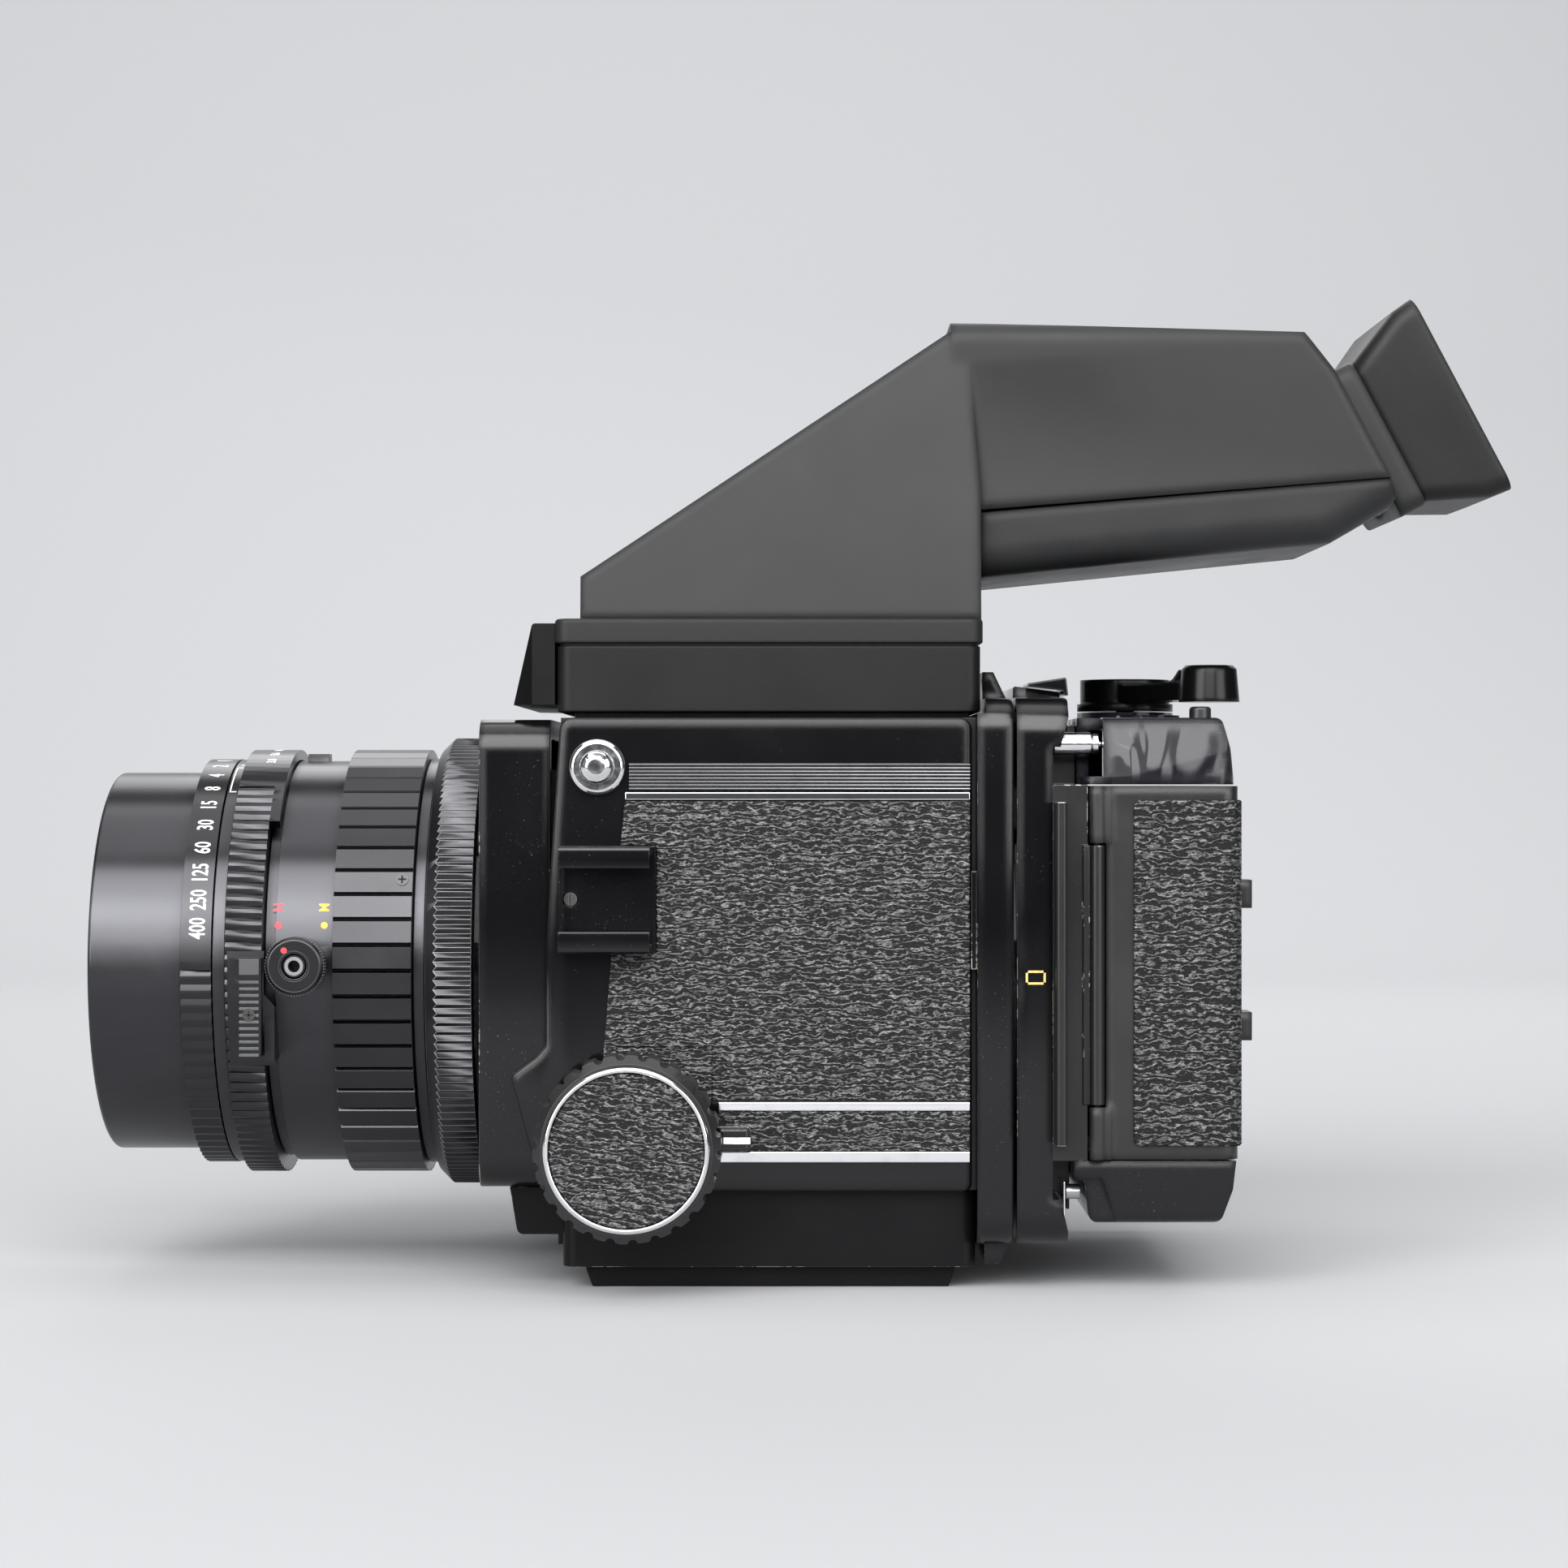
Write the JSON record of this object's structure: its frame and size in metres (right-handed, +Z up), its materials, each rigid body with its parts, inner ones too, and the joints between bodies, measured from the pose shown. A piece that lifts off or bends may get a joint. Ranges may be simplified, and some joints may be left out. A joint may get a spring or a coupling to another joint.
{
  "type": "medium format film camera",
  "caption": "Medium format reflex film camera with a bellows front, a leaf shutter lens, a revolving back with a roll film holder and an angled prism finder.",
  "frame": {"origin": "centre of the tripod socket's mouth, on the underside of the foot", "axes": "+X from the lens towards the film holder, +Z up, +Y towards the camera's right side, so that -Y is the side with the accessory shoe"},
  "size_m": [0.2919, 0.14, 0.202],
  "materials": {
    "black_enamel": "gloss stove enamel with bright worn edges",
    "black_satin": "satin black paint",
    "finder_paint": "matt dark grey paint",
    "leatherette": "grained black covering",
    "bright_chrome": "polished",
    "steel": "brushed",
    "brass_bush": "turned",
    "lens_black": "black anodised, matt",
    "lens_gloss": "black anodised, semi-gloss",
    "knob_plastic": "moulded",
    "grip_plastic": "moulded",
    "bellows_cloth": "coated pleated cloth",
    "optical_glass": "coated",
    "ground_glass": "frosted",
    "mirror_silver": "front silvered",
    "cup_rubber": "matt",
    "spool_plastic": "moulded",
    "film_backing": "rolled paper-backed film"
  },
  "bodies": {
    "camera_body": {"body_casting": "black_satin", "left_side_cover": "black_enamel", "right_side_cover": "black_enamel", "body_leather": "leatherette", "chrome_strips": "bright_chrome", "ribbed_trim_plates": "steel", "strap_lugs": "bright_chrome", "accessory_shoe": "black_enamel", "shoe_screw": "black_enamel", "base_housing": "black_satin", "tripod_plate": "black_satin", "tripod_bush": "brass_bush", "focusing_screen": "ground_glass", "rear_flange": "black_enamel", "bellows": "bellows_cloth", "finder_base": "finder_paint", "finder_housing": "finder_paint", "finder_bottom_cover": "finder_paint", "finder_glass": "optical_glass", "eyepiece_frame": "finder_paint", "eyecup": "cup_rubber", "front_nameplate": "finder_paint"},
    "front_standard": {"front_plate": "black_enamel", "focus_racks": "steel", "lens_core": "lens_black", "front_barrel": "lens_black", "lens_glass": "optical_glass", "mid_barrel": "lens_black"},
    "focus_drive": {"focus_shaft": "steel", "focus_knobs": "knob_plastic", "knob_rings": "bright_chrome", "knob_leathers": "leatherette"},
    "focus_lock": {"focus_lock_lever": "black_enamel"},
    "cocking": {"cocking_lever": "black_enamel"},
    "release": {"release_button": "bright_chrome"},
    "release_ring": {"release_lock_ring": "bright_chrome"},
    "mirror": {"mirror_holder": "black_satin", "mirror_glass": "mirror_silver"},
    "speed": {"speed_ring": "lens_gloss"},
    "aperture": {"aperture_ring": "lens_gloss"},
    "preview": {"preview_slider": "lens_gloss"},
    "mirror_up": {"mirror_up_collar": "lens_gloss"},
    "distance_scale": {"scale_ring": "lens_gloss"},
    "lens_lock": {"lock_ring": "lens_black"},
    "revolving_back": {"revolving_adapter": "black_enamel", "holder_case": "black_satin", "film_insert": "black_satin", "holder_top_cap": "black_enamel", "holder_bottom_cap": "black_enamel"},
    "lock_slide": {"adapter_lock_slide": "black_enamel"},
    "interlock": {"interlock_pin": "bright_chrome"},
    "slide_sheet": {"dark_slide": "steel"},
    "door": {"rear_door": "black_enamel", "door_leather": "leatherette"},
    "latch": {"door_latch": "steel"},
    "wind_lever": {"advance_lever": "grip_plastic"},
    "multi_button": {"multi_exposure_button": "grip_plastic"},
    "feed": {"feed_spool": "film_backing"},
    "take_up": {"take_up_spool": "spool_plastic"},
    "back_tab": {"back_release_tab": "black_enamel"}
  },
  "joints": [
    {"name": "focus_slide", "type": "slide", "parent": "camera_body", "child": "front_standard", "axis": [-1, 0, 0], "range_m": [0, 0.046], "deforming": ["bellows"]},
    {"name": "focus_turn", "type": "hinge", "parent": "camera_body", "child": "focus_drive", "pos_m": [-0.0283, 0, 0.0302], "axis": [0, -1, 0], "range_deg": [0, 420]},
    {"name": "focus_lock_swing", "type": "hinge", "parent": "camera_body", "child": "focus_lock", "pos_m": [-0.0283, -0.0524, 0.0302], "axis": [0, -1, 0], "range_deg": [0, 25]},
    {"name": "cocking_swing", "type": "hinge", "parent": "camera_body", "child": "cocking", "pos_m": [0.02, 0.0534, 0.062], "axis": [0, -1, 0], "range_deg": [0, 75], "stiffness_Nm_per_rad": 0.05, "springref_deg": -17.19},
    {"name": "release_press", "type": "slide", "parent": "camera_body", "child": "release", "axis": [1, 0, 0], "range_m": [0, 0.0025], "stiffness_N_per_m": 300, "springref_m": -0.001},
    {"name": "release_lock_turn", "type": "hinge", "parent": "camera_body", "child": "release_ring", "pos_m": [-0.055, 0.03, 0.0142], "axis": [1, 0, 0], "range_deg": [0, 90]},
    {"name": "mirror_swing", "type": "hinge", "parent": "camera_body", "child": "mirror", "pos_m": [0.0445, 0, 0.0969], "axis": [0, 1, 0], "range_deg": [0, 45]},
    {"name": "speed_turn", "type": "hinge", "parent": "front_standard", "child": "speed", "pos_m": [-0.1165, 0, 0.064], "axis": [1, 0, 0], "range_deg": [-95, 10]},
    {"name": "aperture_turn", "type": "hinge", "parent": "front_standard", "child": "aperture", "pos_m": [-0.1066, 0, 0.064], "axis": [1, 0, 0], "range_deg": [-45, 20]},
    {"name": "preview_turn", "type": "hinge", "parent": "front_standard", "child": "preview", "pos_m": [-0.1046, 0, 0.064], "axis": [-1, 0, 0], "range_deg": [0, 4], "stiffness_Nm_per_rad": 0.8, "springref_deg": -2.86},
    {"name": "mirror_up_turn", "type": "hinge", "parent": "front_standard", "child": "mirror_up", "pos_m": [-0.0959, -0.0455, 0.065], "axis": [0, 1, 0], "range_deg": [0, 40]},
    {"name": "scale_turn", "type": "hinge", "parent": "front_standard", "child": "distance_scale", "pos_m": [-0.0807, 0, 0.064], "axis": [1, 0, 0], "range_deg": [-60, 60]},
    {"name": "lens_lock_turn", "type": "hinge", "parent": "front_standard", "child": "lens_lock", "pos_m": [-0.0652, 0, 0.064], "axis": [1, 0, 0], "range_deg": [0, 30]},
    {"name": "back_turn", "type": "hinge", "parent": "camera_body", "child": "revolving_back", "pos_m": [0.0525, 0, 0.064], "axis": [1, 0, 0], "range_deg": [0, 90]},
    {"name": "lock_slide_move", "type": "slide", "parent": "revolving_back", "child": "lock_slide", "axis": [0, 1, 0], "range_m": [0, 0.006]},
    {"name": "interlock_press", "type": "slide", "parent": "revolving_back", "child": "interlock", "axis": [-1, 0, 0], "range_m": [0, 0.0015], "stiffness_N_per_m": 200, "springref_m": -0.001},
    {"name": "dark_slide_pull", "type": "slide", "parent": "revolving_back", "child": "slide_sheet", "axis": [0, -1, 0], "range_m": [0, 0.1]},
    {"name": "door_swing", "type": "hinge", "parent": "revolving_back", "child": "door", "pos_m": [0.0648, -0.0523, 0.064], "axis": [0, 0, -1], "range_deg": [0, 100]},
    {"name": "latch_move", "type": "slide", "parent": "door", "child": "latch", "axis": [1, 0, 0], "range_m": [0, 0.004]},
    {"name": "wind_swing", "type": "hinge", "parent": "revolving_back", "child": "wind_lever", "pos_m": [0.0774, 0.022, 0.1205], "axis": [0, 0, 1], "range_deg": [0, 150], "stiffness_Nm_per_rad": 0.01, "springref_deg": -17.19},
    {"name": "multi_press", "type": "slide", "parent": "revolving_back", "child": "multi_button", "axis": [0, 0, -1], "range_m": [0, 0.0015], "stiffness_N_per_m": 100, "springref_m": -0.002},
    {"name": "feed_spin", "type": "hinge", "parent": "revolving_back", "child": "feed", "pos_m": [0.079, -0.033, 0.064], "axis": [0, 0, 1], "continuous": true},
    {"name": "take_up_spin", "type": "hinge", "parent": "revolving_back", "child": "take_up", "pos_m": [0.079, 0.033, 0.064], "axis": [0, 0, 1], "continuous": true},
    {"name": "back_tab_slide", "type": "slide", "parent": "camera_body", "child": "back_tab", "axis": [0, 0, -1], "range_m": [0, 0.003]}
  ],
  "couplings": [
    {"joint": "focus_turn", "follows": "focus_slide", "rad_per_m": 158.73}
  ]
}
